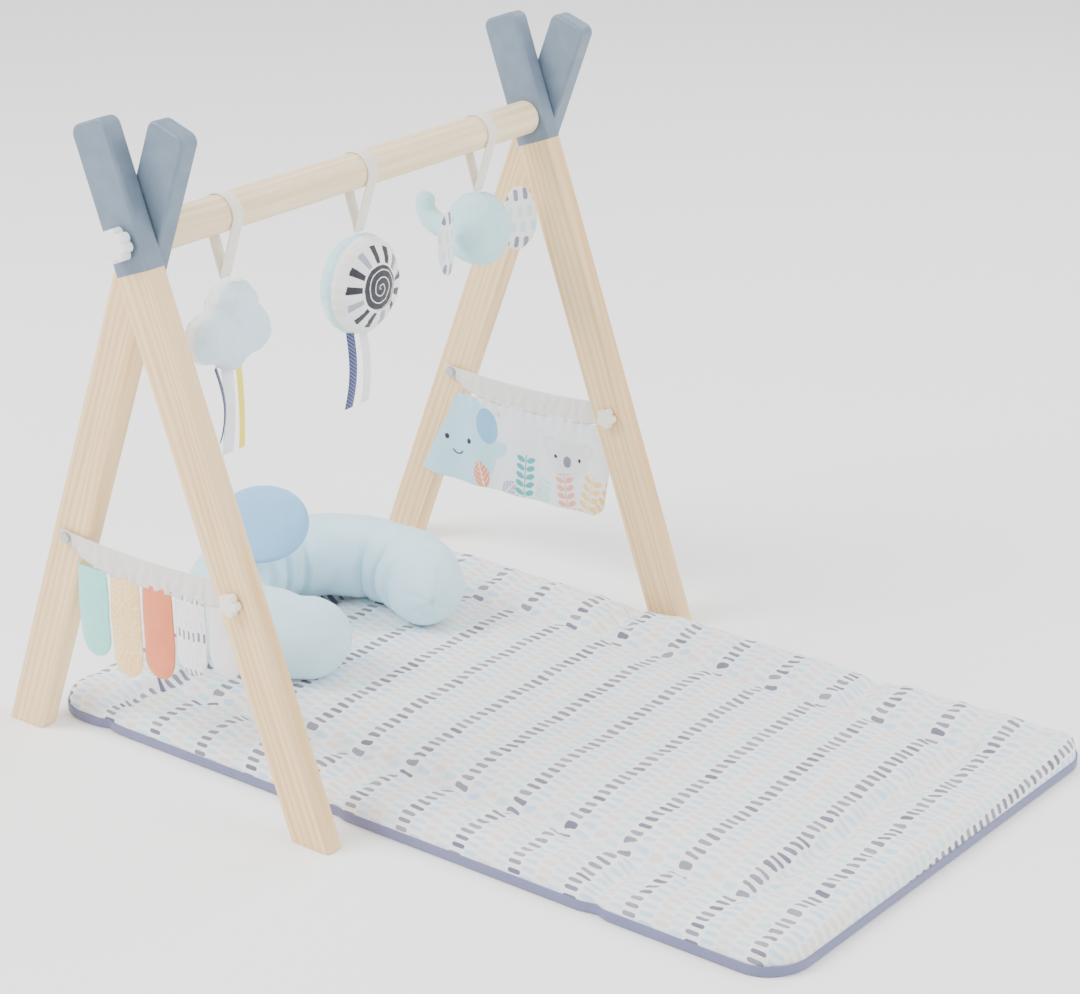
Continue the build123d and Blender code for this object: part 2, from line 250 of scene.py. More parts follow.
# ---- Knobs, toggles and their metal -----------------------------------------------------------
# White moulded lobed knobs on steel studs clamp the bar; cream ones hold the side panels.
def moulded(name, colour, roughness):
    """Moulded plastic with a faint mottle and a fine texture."""
    plastic = bpy.data.materials.new(name)
    nodes, link, shader = links(plastic)
    place = nodes.new("ShaderNodeTexCoord").outputs["Object"]
    mottle = texture(nodes, link, "TexNoise", place, scale=180)
    tint = ramp(nodes, link, mottle.outputs["Fac"],
                ((0.3, tuple(value * 0.95 for value in colour)), (0.7, colour)))
    link.new(tint, shader.inputs["Base Color"])
    grain = texture(nodes, link, "TexNoise", place, scale=1600)
    bump(nodes, link, shader, grain.outputs["Fac"], 0.0001, 0.2)
    shader.inputs["Roughness"].default_value = roughness
    return plastic


def turned_metal(name, colour):
    """Machined metal with fine turning marks."""
    metal = bpy.data.materials.new(name)
    nodes, link, shader = links(metal)
    place = nodes.new("ShaderNodeTexCoord").outputs["Object"]
    marks = texture(nodes, link, "TexWave", place, bands_direction="Y", scale=260)
    tint = ramp(nodes, link, marks.outputs["Fac"],
                ((0.2, tuple(value * 0.75 for value in colour)), (0.8, colour)))
    link.new(tint, shader.inputs["Base Color"])
    shader.inputs["Metallic"].default_value = 1.0
    shader.inputs["Roughness"].default_value = 0.35
    return metal


white_knob = moulded("knob_white", (0.86, 0.87, 0.86), 0.42)
cream_toggle = moulded("toggle_cream", (0.88, 0.82, 0.72), 0.45)
steel = turned_metal("stud_steel", (0.60, 0.60, 0.61))
brass = turned_metal("insert_brass", (0.74, 0.58, 0.30))
for node_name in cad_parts:
    if node_name.endswith("_toggle"):
        finish = cream_toggle
    elif node_name.endswith("_knob"):
        finish = white_knob
    elif node_name.endswith(("_stud", "_shank", "_nut")):
        finish = steel
    elif node_name == "bar_inserts":
        finish = brass
    else:
        continue
    refinish(node_name, finish)


# ---- Webbing loops ----------------------------------------------------------------------------
# Cream cotton webbing, sewn into a closed loop round the bar and drawn down to the toy's top.
def cloth(name, colour, weave=900.0, relief=0.00018, second=None, sheen=0.25, roughness=0.9):
    """Woven cotton: fine crossed threads, soft mottle and sheen. second adds a worn tint."""
    fabric = bpy.data.materials.new(name)
    nodes, link, shader = links(fabric)
    place = nodes.new("ShaderNodeTexCoord").outputs["Object"]
    threads = [texture(nodes, link, "TexWave", place, bands_direction=direction, scale=weave / 3,
                       distortion=0.6).outputs["Fac"] for direction in ("X", "Y", "Z")]
    woven = maths(nodes, link, "ADD", maths(nodes, link, "ADD", threads[0], threads[1]), threads[2])
    mottle = texture(nodes, link, "TexNoise", place, scale=55, detail=6)
    worn = second or tuple(value * 0.93 for value in colour)
    tint = ramp(nodes, link, mottle.outputs["Fac"], ((0.25, worn), (0.75, colour)))
    link.new(tint, shader.inputs["Base Color"])
    bump(nodes, link, shader, woven, relief, 0.35)
    shader.inputs["Roughness"].default_value = roughness
    shader.inputs["Sheen Weight"].default_value = sheen
    shader.inputs["Sheen Roughness"].default_value = 0.5
    return fabric


def mesh_piece(name, points, faces, material):
    """A smooth mesh object made of these points and faces, with its normals turned outwards."""
    mesh = bpy.data.meshes.new(name)
    mesh.from_pydata([tuple(point) for point in points], [], faces)
    piece = bpy.data.objects.new(name, mesh)
    bpy.context.collection.objects.link(piece)
    bpy.ops.object.select_all(action="DESELECT")
    piece.select_set(True)
    bpy.context.view_layer.objects.active = piece
    bpy.ops.object.mode_set(mode="EDIT")
    bpy.ops.mesh.select_all(action="SELECT")
    bpy.ops.mesh.remove_doubles(threshold=0.00002)
    bpy.ops.mesh.normals_make_consistent(inside=False)
    bpy.ops.object.mode_set(mode="OBJECT")
    bpy.ops.object.shade_smooth()
    mesh.materials.append(material)
    return piece


def apply_modifier(piece, kind, **settings):
    """Add one modifier with these settings and apply it."""
    bpy.ops.object.select_all(action="DESELECT")
    piece.select_set(True)
    bpy.context.view_layer.objects.active = piece
    modifier = piece.modifiers.new(kind.lower(), kind)
    for key, value in settings.items():
        setattr(modifier, key, value)
    bpy.ops.object.modifier_apply(modifier=modifier.name)


def strap(name, path, across, width, thickness, material, closed=False):
    """A flat strap of this width and thickness along a path of points."""
    points, faces = [], []
    for point in path:
        points.append(Vector(point) - Vector(across) * width / 2)
        points.append(Vector(point) + Vector(across) * width / 2)
    count = len(path)
    for index in range(count if closed else count - 1):
        after = (index + 1) % count
        faces.append((2 * index, 2 * index + 1, 2 * after + 1, 2 * after))
    piece = mesh_piece(name, points, faces, material)
    apply_modifier(piece, "SOLIDIFY", thickness=thickness, offset=0)
    apply_modifier(piece, "BEVEL", width=thickness * 0.3, segments=2)
    bpy.ops.object.shade_smooth_by_angle(angle=radians(40))
    return piece


bar_radius = (bar_high.x - bar_low.x) / 2
webbing = cloth("webbing_cream", (0.88, 0.83, 0.74), weave=1500, relief=0.0004)
webbing_thickness, webbing_steps = 0.0013, 32
loop_places = {}
for loop_name in ("cloud", "ball", "elephant"):
    low, high = corners(f"{loop_name}_loop")
    middle = (low.y + high.y) / 2
    loop_places[loop_name] = (middle, low.z)
    radius = bar_radius + 0.0011
    drop = cross_height - low.z - 0.0015
    side = atan2(radius, sqrt(drop * drop - radius * radius))
    path = []
    for step in range(webbing_steps + 1):
        angle = -side + (pi + 2 * side) * step / webbing_steps
        path.append((radius * cos(angle), middle, cross_height + radius * sin(angle)))
    tip = (0, middle, cross_height - drop)
    left_end, right_end = Vector(path[-1]), Vector(path[0])
    path += [left_end.lerp(Vector(tip), share / 8) for share in range(1, 8)]
    path += [tip]
    path += [Vector(tip).lerp(right_end, share / 8) for share in range(1, 8)]
    loop = strap(f"{loop_name}_webbing", path, (0, 1, 0), high.y - low.y, webbing_thickness,
                 webbing, closed=True)
    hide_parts(f"{loop_name}_loop")
    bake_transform(loop)


# ---- Cloud toy --------------------------------------------------------------------------------
# A small stuffed cloud: a pale blue front panel sewn to a printed back, with three ribbons.
def blob(name, lobes, voxel, smoothing, material):
    """One stuffed form made of overlapping squashed balls, joined and smoothed."""
    parts = []
    for place, size in lobes:
        bpy.ops.mesh.primitive_uv_sphere_add(segments=40, ring_count=24, radius=1, location=place,
                                             scale=size)
        parts.append(bpy.context.object)
    bpy.ops.object.select_all(action="DESELECT")
    for part in parts:
        part.select_set(True)
    bpy.context.view_layer.objects.active = parts[0]
    bpy.ops.object.join()
    piece = bpy.context.object
    piece.name = name
    bpy.ops.object.transform_apply(location=True, rotation=True, scale=True)
    apply_modifier(piece, "REMESH", mode="VOXEL", voxel_size=voxel)
    apply_modifier(piece, "SMOOTH", factor=0.5, iterations=smoothing)
    bpy.ops.object.shade_smooth()
    piece.data.materials.clear()
    piece.data.materials.append(material)
    return piece


def crumple(piece, height, size, seed, seam=None):
    """Soft creases in a stuffed form, and a pinched seam where seam(point) is near nothing."""
    for vertex in piece.data.vertices:
        place = Vector(vertex.co)
        fold = noise.fractal(place / size + Vector((seed, seed, seed)), 0.6, 2.0, 4)
        move = fold * height
        if seam:
            move -= 0.0016 * exp(-((seam(place) / 0.0016) ** 2))
        vertex.co = place + vertex.normal * move
    piece.data.update()


def two_sided(name, front, back, seam_x, piping):
    """Cotton that is one finish where x is positive and another behind the seam."""
    fabric = cloth(name, front)
    nodes, link, shader = links(fabric)
    calc = partial(maths, nodes, link)
    parts = nodes.new("ShaderNodeSeparateXYZ")
    link.new(nodes.new("ShaderNodeTexCoord").outputs["Object"], parts.inputs[0])
    behind = calc("LESS_THAN", parts.outputs["X"], seam_x)
    colour = mixed(nodes, link, behind, shader.inputs["Base Color"].links[0].from_socket, back)
    sway = calc("SINE", calc("MULTIPLY", parts.outputs["Z"], 190))
    swayed = calc("ADD", parts.outputs["X"], calc("MULTIPLY", sway, 0.0012))
    for line_x, half_line, tint in piping:
        line = calc("COMPARE", swayed, line_x)
        line.node.inputs[2].default_value = half_line
        colour = mixed(nodes, link, line, colour, tint)
    link.new(colour, shader.inputs["Base Color"])
    return fabric


toy_seam_x = 0.0035
cloud_y, toy_top = loop_places["cloud"]
cloud_lobes = ((-0.024, -0.048, 0.024), (0.006, -0.030, 0.029), (0.028, -0.052, 0.021),
               (0.002, -0.056, 0.026), (-0.010, -0.046, 0.026), (0.016, -0.044, 0.025))
cloud_finish = two_sided("cloud_cotton", (0.62, 0.82, 0.92), (0.86, 0.87, 0.90), toy_seam_x,
                         ((-0.0090, 0.0006, (0.05, 0.05, 0.06)), (-0.0035, 0.0011, (0.66, 0.70, 0.76)),
                          (-0.0155, 0.0024, (0.72, 0.70, 0.68))))
lobes = [((0, cloud_y + y, toy_top + z), (0.019, radius, radius)) for y, z, radius in cloud_lobes]
cloud = blob("cloud_pillow", lobes, 0.0022, 12, cloud_finish)
crumple(cloud, 0.0016, 0.016, 2.0, seam=lambda place: place.x - toy_seam_x)
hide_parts("cloud_toy")
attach(cloud, "cloud_toy")


# The ribbons are short lengths of satin ribbon sewn into the lower seam, a little curled.
def ribbon_twill(name, colour, stripe=None):
    """Satin ribbon with fine cross ribs, or with slanting stripes of a second colour."""
    fabric = cloth(name, colour, weave=1800, relief=0.0002, roughness=0.55)
    nodes, link, shader = links(fabric)
    if stripe:
        place = nodes.new("ShaderNodeTexCoord").outputs["Object"]
        slant = texture(nodes, link, "Mapping", place, rotation=(radians(38), 0, 0))
        bands = texture(nodes, link, "TexWave", slant.outputs[0], bands_direction="Z", scale=105)
        lit = maths(nodes, link, "GREATER_THAN", bands.outputs["Fac"], 0.82)
        old = shader.inputs["Base Color"].links[0].from_socket
        link.new(mixed(nodes, link, lit, old, stripe), shader.inputs["Base Color"])
    return fabric


ribbon_finishes = {
    "cloud_navy_ribbon": (ribbon_twill("navy_satin", (0.016, 0.030, 0.13)), "navy_ribbon", 0.007),
    "cloud_pale_ribbon": (ribbon_twill("pale_satin", (0.83, 0.89, 0.93)), "pale_ribbon", -0.003),
    "cloud_yellow_ribbon": (ribbon_twill("yellow_satin", (0.95, 0.78, 0.06)), "yellow_ribbon", 0.002),
    "ball_striped_ribbon": (ribbon_twill("striped_satin", (0.010, 0.020, 0.12), (0.13, 0.18, 0.38)),
                            "navy_ribbon", -0.0045),
    "ball_white_ribbon": (ribbon_twill("white_satin", (0.88, 0.89, 0.90)), "pale_ribbon", 0.004),
}
for ribbon_name, (finish, slot_name, curl) in ribbon_finishes.items():
    low, high = corners(ribbon_name)
    length = high.z - low.z
    middle = (low.y + high.y) / 2
    path = []
    ribbon_steps, sewn_in = 24, 0.006
    for step in range(ribbon_steps + 1):
        share = step / ribbon_steps
        sway = abs(curl) * sin(0.9 * pi * share)
        path.append((0.82 * sway, middle + 0.57 * sway + 1.3 * min(curl, 0) * share,
                     high.z + sewn_in - (length + sewn_in) * share))
    across = (-0.54, 0.84, 0) if ribbon_name == "cloud_navy_ribbon" else (0, 1, 0)
    ribbon = strap(f"{ribbon_name}_satin", path, across, high.y - low.y, 0.0008, finish)
    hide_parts(ribbon_name)
    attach(ribbon, ribbon_name.split("_")[0] + "_ribbons")


# ---- Ball toy ---------------------------------------------------------------------------------
# A stuffed disc: white front printed with a dark spiral and rays, pale blue back, seam all round.
def spiral_print(centre_y, centre_z):
    """White cotton with a spiral disc and radial rays on the +X side, pale blue behind."""
    fabric = cloth("ball_print", (0.87, 0.87, 0.87))
    nodes, link, shader = links(fabric)
    calc, mix = partial(maths, nodes, link), partial(mixed, nodes, link)
    place = nodes.new("ShaderNodeTexCoord").outputs["Object"]
    centred = texture(nodes, link, "Mapping", place, vector_type="TEXTURE",
                      location=(0, centre_y, centre_z))
    parts = nodes.new("ShaderNodeSeparateXYZ")
    link.new(centred.outputs[0], parts.inputs[0])
    x, y, z = parts.outputs["X"], parts.outputs["Y"], parts.outputs["Z"]
    radius = calc("SQRT", calc("ADD", calc("MULTIPLY", y, y), calc("MULTIPLY", z, z)))
    angle = calc("ARCTAN2", z, y)
    winding = calc("ADD", calc("MULTIPLY", radius, 2 * pi / 0.0068), angle)
    coil = calc("GREATER_THAN", calc("SINE", winding), -0.90)
    coil = calc("MULTIPLY", coil, calc("LESS_THAN", radius, 0.0215))
    rays = calc("GREATER_THAN", calc("SINE", calc("MULTIPLY", angle, 13)), 0.18)
    ring = calc("MULTIPLY", calc("GREATER_THAN", radius, 0.0235), calc("LESS_THAN", radius, 0.0385))
    rays = calc("MULTIPLY", rays, ring)
    grey = calc("GREATER_THAN", calc("SINE", calc("MULTIPLY", angle, 4)), 0.55)
    ray_colour = mix(grey, (0.025, 0.027, 0.035), (0.33, 0.36, 0.42))
    colour = mix(rays, shader.inputs["Base Color"].links[0].from_socket, ray_colour)
    colour = mix(coil, colour, (0.03, 0.03, 0.04))
    back = mix(calc("LESS_THAN", z, -0.006), (0.48, 0.74, 0.84), (0.58, 0.80, 0.88))
    colour = mix(calc("GREATER_THAN", x, toy_seam_x), back, colour)
    rim = calc("MULTIPLY", calc("LESS_THAN", x, -0.0125), calc("LESS_THAN", y, 0.03))
    colour = mix(rim, colour, (0.91, 0.62, 0.33))
    link.new(colour, shader.inputs["Base Color"])
    return fabric


ball_low, ball_high = corners("ball_toy")
ball_y, ball_z = (ball_low.y + ball_high.y) / 2, (ball_low.z + ball_high.z) / 2
ball_radius = 0.0475
ball = blob("ball_plush", [((0, ball_y, ball_z), ((ball_high.x - ball_low.x) / 2, ball_radius, ball_radius))],
            0.0022, 4, spiral_print(ball_y, ball_z))
rim_starts, rim_puckers, pucker_height = 0.72, 26, 0.0009
for vertex in ball.data.vertices:
    radial = Vector((0, vertex.co.y - ball_y, vertex.co.z - ball_z))
    turn = atan2(radial.z, radial.y)
    edge = max(0.0, radial.length / ball_radius - rim_starts) / (1 - rim_starts)
    vertex.co.x += pucker_height * edge * sin(rim_puckers * turn) * (1 if vertex.co.x > 0 else -1)
crumple(ball, 0.0013, 0.02, 5.0, seam=lambda place: place.x - toy_seam_x)
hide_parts("ball_toy")
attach(ball, "ball_toy")

# ---- Elephant toy -----------------------------------------------------------------------------
# A round plush head seen from behind, with a curled trunk and two flat printed ears.
head_low, head_high = corners("elephant_head")
head_centre = (head_low + head_high) / 2
head_size = (head_high - head_low) / 2
plush = cloth("elephant_plush", (0.50, 0.79, 0.84), weave=700, relief=0.0004, sheen=0.5)
head = blob("elephant_head_plush", [(head_centre, head_size * 0.985)], 0.0024, 4, plush)
crumple(head, 0.0016, 0.018, 8.0, seam=lambda place: place.y - head_centre.y)
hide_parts("elephant_head")
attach(head, "elephant_toy")

trunk_high = corners("elephant_trunk")[1]
trunk_lobes, trunk_steps = [], 14
trunk_bend, trunk_radius = 0.020, 0.0116
for step in range(trunk_steps + 1):
    share = step / trunk_steps
    angle = radians(270 - 95 * share)
    centre = Vector((trunk_high.x - 0.006 + trunk_bend * cos(angle), head_centre.y,
                     head_centre.z + 0.016 + trunk_bend * sin(angle)))
    trunk_lobes.append((centre, (trunk_radius - 0.0016 * share,) * 3))
for share in (0.0, 0.5, 1.0):
    centre = Vector((trunk_high.x - 0.004 + 0.010 * share, head_centre.y, head_centre.z - 0.004))
    trunk_lobes.append((centre, (trunk_radius,) * 3))
trunk = blob("elephant_trunk_plush", trunk_lobes, 0.0016, 10, plush)
crumple(trunk, 0.0008, 0.010, 4.0)
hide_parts("elephant_trunk")
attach(trunk, "elephant_toy")


def dash_print(name, ground, row_pitch, dash_pitch, dash_length, dash_width, tints, axes="XY",
               origin=(0, 0, 0), wrap=None):
    """Cotton printed with rows of short dashes; tints gives one colour for each row in turn."""
    fabric = cloth(name, ground)
    nodes, link, shader = links(fabric)
    calc = partial(maths, nodes, link)
    place = nodes.new("ShaderNodeTexCoord").outputs["Object"]
    moved = texture(nodes, link, "Mapping", place, vector_type="TEXTURE", location=origin).outputs[0]
    parts = nodes.new("ShaderNodeSeparateXYZ")
    link.new(moved, parts.inputs[0])
    wander = texture(nodes, link, "TexNoise", moved, scale=14)
    along, across = parts.outputs[axes[0]], parts.outputs[axes[1]]
    if wrap:
        side_start, end_start, crown = wrap
        fall = calc("SUBTRACT", crown, parts.outputs["Z"])
        sideways = calc("SUBTRACT", calc("ABSOLUTE", across), side_start)
        share = calc("DIVIDE", sideways, 0.03, clamp=True)
        share = calc("MULTIPLY", share, calc("SIGN", across))
        across = calc("ADD", across, calc("MULTIPLY", fall, share))
        share = calc("DIVIDE", calc("SUBTRACT", along, end_start), 0.03, clamp=True)
        along = calc("ADD", along, calc("MULTIPLY", fall, share))
    drift = calc("MULTIPLY", calc("SUBTRACT", wander.outputs["Fac"], 0.5), 0.006)
    row_place = calc("DIVIDE", calc("ADD", along, drift), row_pitch)
    row = calc("FLOOR", row_place)
    shifted = calc("ADD", calc("DIVIDE", across, dash_pitch), calc("MULTIPLY", row, 0.37))
    cell = nodes.new("ShaderNodeCombineXYZ")
    link.new(row, cell.inputs[0])
    link.new(calc("FLOOR", shifted), cell.inputs[1])
    chance = texture(nodes, link, "TexWhiteNoise", cell.outputs[0], noise_dimensions="3D")
    jitter = calc("MULTIPLY", calc("SUBTRACT", chance.outputs["Value"], 0.5), 0.16)
    in_row = calc("ADD", calc("SUBTRACT", calc("FRACT", row_place), 0.5), jitter)
    in_row = calc("ABSOLUTE", calc("MULTIPLY", in_row, row_pitch))
    in_column = calc("MULTIPLY", calc("SUBTRACT", calc("FRACT", shifted), 0.5), dash_pitch)
    past = calc("MAXIMUM", calc("SUBTRACT", in_row, dash_length / 2 - dash_width / 2), 0)
    squares = calc("ADD", calc("MULTIPLY", past, past), calc("MULTIPLY", in_column, in_column))
    inked = calc("LESS_THAN", calc("SQRT", squares), dash_width / 2)
    faded = calc("SUBTRACT", 1.0, calc("MULTIPLY", chance.outputs["Value"], 0.22))
    colour = shader.inputs["Base Color"].links[0].from_socket
    for order, tint in enumerate(tints):
        chosen = calc("COMPARE", calc("FLOORED_MODULO", row, len(tints)), order)
        chosen.node.inputs[2].default_value = 0.2
        share = calc("MULTIPLY", calc("MULTIPLY", chosen, inked), faded)
        colour = mixed(nodes, link, share, colour, tint)
    link.new(colour, shader.inputs["Base Color"])
    return fabric


def grid_faces(rows, columns, start=0, closed=False):
    """The quads between rows of points; closed joins each row's last point to its first."""
    faces = []
    for row in range(rows - 1):
        here = start + row * columns
        for column in range(columns if closed else columns - 1):
            after = (column + 1) % columns
            faces.append((here + column, here + after, here + columns + after, here + columns + column))
    return faces


def disc_faces(rings, spokes):
    """Faces for a disc of two layers, each with rings of spokes, joined round the rim."""
    layer = (rings + 1) * spokes
    faces = grid_faces(rings + 1, spokes, closed=True) + grid_faces(rings + 1, spokes, layer, True)
    for spoke in range(spokes):
        here, after = rings * spokes + spoke, rings * spokes + (spoke + 1) % spokes
        faces.append((here, after, layer + after, layer + here))
    return faces


ear_print = dash_print("ear_print", (0.87, 0.88, 0.91), 0.0168, 0.0098, 0.0118, 0.0048,
                       ((0.72, 0.70, 0.71), (0.20, 0.21, 0.30), (0.52, 0.75, 0.82)),
                       axes="ZY", origin=head_centre)
for ear_name, side, turn in (("elephant_near_ear", -1, radians(18)), ("elephant_far_ear", 1, radians(24))):
    low, high = corners(ear_name)
    centre = (low + high) / 2
    outward = Vector((sin(turn), side * cos(turn), 0))
    across = Vector((outward.y, -outward.x, 0))
    ear_points = []
    ear_width, ear_height = 0.0205, 0.0325
    rings, spokes = 12, 44
    for layer in (1, -1):
        for ring in range(rings + 1):
            share = ring / rings
            for spoke in range(spokes):
                angle = 2 * pi * spoke / spokes
                pinch = 1 - 0.30 * max(0.0, -cos(angle)) ** 3
                reach = outward * (ear_width * share * cos(angle) + 0.0012)
                reach += Vector((0, 0, ear_height * share * sin(angle) * pinch))
                puff = 0.0026 * sqrt(max(0.0, 1 - share ** 4)) + 0.00035
                curve = 0.0035 * (share * cos(angle)) ** 2
                ear_points.append(centre + reach + across * (layer * puff + curve))
    ear = mesh_piece(f"{ear_name}_flat", ear_points, disc_faces(rings, spokes), ear_print)
    crumple(ear, 0.0006, 0.012, 3.0 + side)
    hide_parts(ear_name)
    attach(ear, ear_name)

# ---- Quilted mat ------------------------------------------------------------------------------
# White printed cotton over wadding, quilted along an inset rectangle, on a purple-grey backing that
# turns up round the edge. The long end is a little out of square.
quilt_low, quilt_high = corners("mat_quilt")
mat_back, mat_half = quilt_low.x, (quilt_high.y - quilt_low.y) / 2
mat_near_front, mat_far_front = 0.612, quilt_high.x
mat_corner = 0.038
quilt_inset = 0.078
notch_places = (-0.108, 0.164, 0.436)


def mat_place(across, along):
    """The place on the mat for shares across (Y) and along (X), with round corners."""
    y = (2 * across - 1) * mat_half
    front = mat_near_front + (mat_far_front - mat_near_front) * across
    x = mat_back + (front - mat_back) * along
    from_side = mat_half - abs(y)
    from_end = min(x - mat_back, front - x)
    if from_side < mat_corner and from_end < mat_corner:
        a, b = 1 - from_side / mat_corner, 1 - from_end / mat_corner
        y = (1 if y > 0 else -1) * (mat_half - mat_corner + mat_corner * a * sqrt(1 - b * b / 2))
        end = mat_corner * b * sqrt(1 - a * a / 2)
        x = mat_back + mat_corner - end if x - mat_back < front - x else front - mat_corner + end
    pull = sum(exp(-(((x - notch) / 0.007) ** 2)) for notch in notch_places)
    y *= 1 - 0.016 * pull * exp(-((from_side / 0.03) ** 2))
    return x, y, from_side, from_end


def quilt_height(x, y, from_side, from_end):
    """How high the quilted top stands: rounded rim, sunken seams and soft wrinkles."""
    from_edge = min(from_side, from_end)
    rim = sqrt(max(0.0, 1 - (1 - min(from_edge / 0.020, 1)) ** 2))
    seams = [abs(from_side - quilt_inset) if from_end > quilt_inset - 0.004 else 1.0,
             abs(from_end - quilt_inset) if from_side > quilt_inset - 0.004 else 1.0]
    border = min(from_side, from_end) < quilt_inset
    across = min(abs(x - notch) for notch in notch_places) if border and from_side < from_end else 1.0
    seams.append(across + max(0.0, 0.02 - from_edge) * 0.3)
    seam = exp(-((min(seams) / 0.0095) ** 2))
    wave = noise.fractal(Vector((x * 9, y * 15, 1.5)), 0.8, 2.0, 3)
    pucker = sin(2 * pi * (x + y) / 0.031 + 4 * wave) * exp(-((min(seams) / 0.026) ** 2)) * 0.0019
    crease = noise.fractal(Vector((x * 34, y * 26, 4.0)), 0.7, 2.1, 3) * 0.0016
    gather = 0.0021 * sin(2 * pi * (y / 0.047 if from_end < from_side else x / 0.052) + 2 * wave)
    gather *= exp(-((from_edge - 0.03) / 0.022) ** 2)
    loft = 0.0112 + 0.0026 * wave + 0.0042 * (1 - exp(-((min(seams) / 0.032) ** 2)))
    return max(0.0018, loft - 0.0088 * seam + pucker + crease + gather) * rim


def mat_shell(name, cells_across, cells_along, top, bottom_z, material):
    """A closed pad over the mat's outline: a shaped top, a flat underside and a joining rim."""
    points = []
    for layer in (0, 1):
        for i in range(cells_across + 1):
            for j in range(cells_along + 1):
                x, y, side, end = mat_place(i / cells_across, j / cells_along)
                z = top(x, y, side, end) if layer == 0 else bottom_z
                points.append((x, y, z))
    stride = cells_along + 1
    shift = (cells_across + 1) * stride
    faces = grid_faces(cells_across + 1, stride) + grid_faces(cells_across + 1, stride, shift)
    border = [(i, 0) for i in range(cells_across)] + [(cells_across, j) for j in range(cells_along)]
    border += [(i, cells_along) for i in range(cells_across, 0, -1)]
    border += [(0, j) for j in range(cells_along, 0, -1)]
    for here, after in zip(border, border[1:] + border[:1]):
        a, b = here[0] * stride + here[1], after[0] * stride + after[1]
        faces.append((a, b, b + shift, a + shift))
    return mesh_piece(name, points, faces, material)


mat_print = dash_print(
    "quilt_print", (0.88, 0.885, 0.90), 0.0145, 0.0105, 0.0130, 0.0053,
    ((0.13, 0.13, 0.20), (0.50, 0.70, 0.88), (0.78, 0.70, 0.64), (0.55, 0.77, 0.84)),
    wrap=(mat_half - 0.035, mat_near_front - 0.012, 0.023))
seam_level = 0.0095
quilt = mat_shell("mat_quilt_top", 150, 250,
                  lambda x, y, side, end: seam_level + quilt_height(x, y, side, end), 0.0065, mat_print)
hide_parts("mat_quilt")
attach(quilt, "mat")

backing_cloth = cloth("backing_cotton", (0.17, 0.18, 0.31), weave=1000)
backing = mat_shell(
    "mat_backing_cloth", 60, 100,
    lambda x, y, side, end: 0.0040 + 0.0062 * max(0.0, 1 - min(side, end) / 0.012), 0.0, backing_cloth)
for vertex in backing.data.vertices:
    vertex.co.x = 0.22 + (vertex.co.x - 0.22) * 1.004
    vertex.co.y *= 1.006
apply_modifier(backing, "BEVEL", width=0.0018, segments=3, limit_method="ANGLE", angle_limit=radians(50))
bpy.ops.object.shade_smooth_by_angle(angle=radians(50))
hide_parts("mat_backing")
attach(backing, "mat")

# ---- Bolster ----------------------------------------------------------------------------------
# A firm stuffed tube of pale blue cotton, bent into a C, with radial creases on its inner side
# and a mid-blue ear flap sewn to its top.
bolster_low, bolster_high = corners("tummy_bolster")
tube = (bolster_high.z - bolster_low.z) / 2
bend_centre = Vector((-0.052, 0.002, bolster_low.z + tube))
bend = (bolster_high.y - bolster_low.y) / 2 - tube
arc_start, arc_end = radians(50), radians(300)
points, stations = [], []
steps, around, cap_steps = 150, 64, 14
for step in range(cap_steps):
    stations.append((arc_start, -cos(pi / 2 * step / cap_steps) * tube, sin(pi / 2 * step / cap_steps)))
for step in range(steps + 1):
    stations.append((arc_start + (arc_end - arc_start) * step / steps, 0.0, 1.0))
for step in range(cap_steps - 1, -1, -1):
    stations.append((arc_end, cos(pi / 2 * step / cap_steps) * tube, sin(pi / 2 * step / cap_steps)))
for angle, beyond, swell in stations:
    radial = Vector((cos(angle), sin(angle), 0))
    forward = Vector((-sin(angle), cos(angle), 0))
    middle = bend_centre + radial * bend + forward * beyond
    for turn in range(around):
        roll = 2 * pi * turn / around
        inner = max(0.0, -cos(roll))
        fold = sin(angle * 11 + 2.2 * sin(angle * 4 + 1) + 0.5 * sin(roll))
        crease = -(inner ** 1.2) * 0.0060 * max(0.0, fold) ** 2.5 * min(1, swell * 1.2)
        crease -= 0.0030 * (1 - swell) * max(0.0, sin(roll * 7)) if swell < 0.8 else 0.0
        seam = 0.0014 * exp(-((cos(roll) / 0.045) ** 2)) if sin(roll) > 0 else 0.0
        radius = tube * swell * 0.985 + crease - seam * swell
        place = middle + radial * radius * cos(roll) + Vector((0, 0, radius * sin(roll)))
        lump = noise.fractal(place * 16 + Vector((3, 1, 2)), 0.7, 2.0, 3) * 0.0028 * swell
        place += (place - middle).normalized() * lump if swell > 0.01 else Vector()
        place.z = max(place.z, bolster_low.z + 0.0002)
        points.append(place)
faces = grid_faces(len(stations), around, closed=True)
pale_blue = cloth("bolster_cotton", (0.56, 0.81, 0.92), weave=1000)
bolster = mesh_piece("bolster_tube", points, faces, pale_blue)
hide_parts("tummy_bolster")
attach(bolster, "bolster")

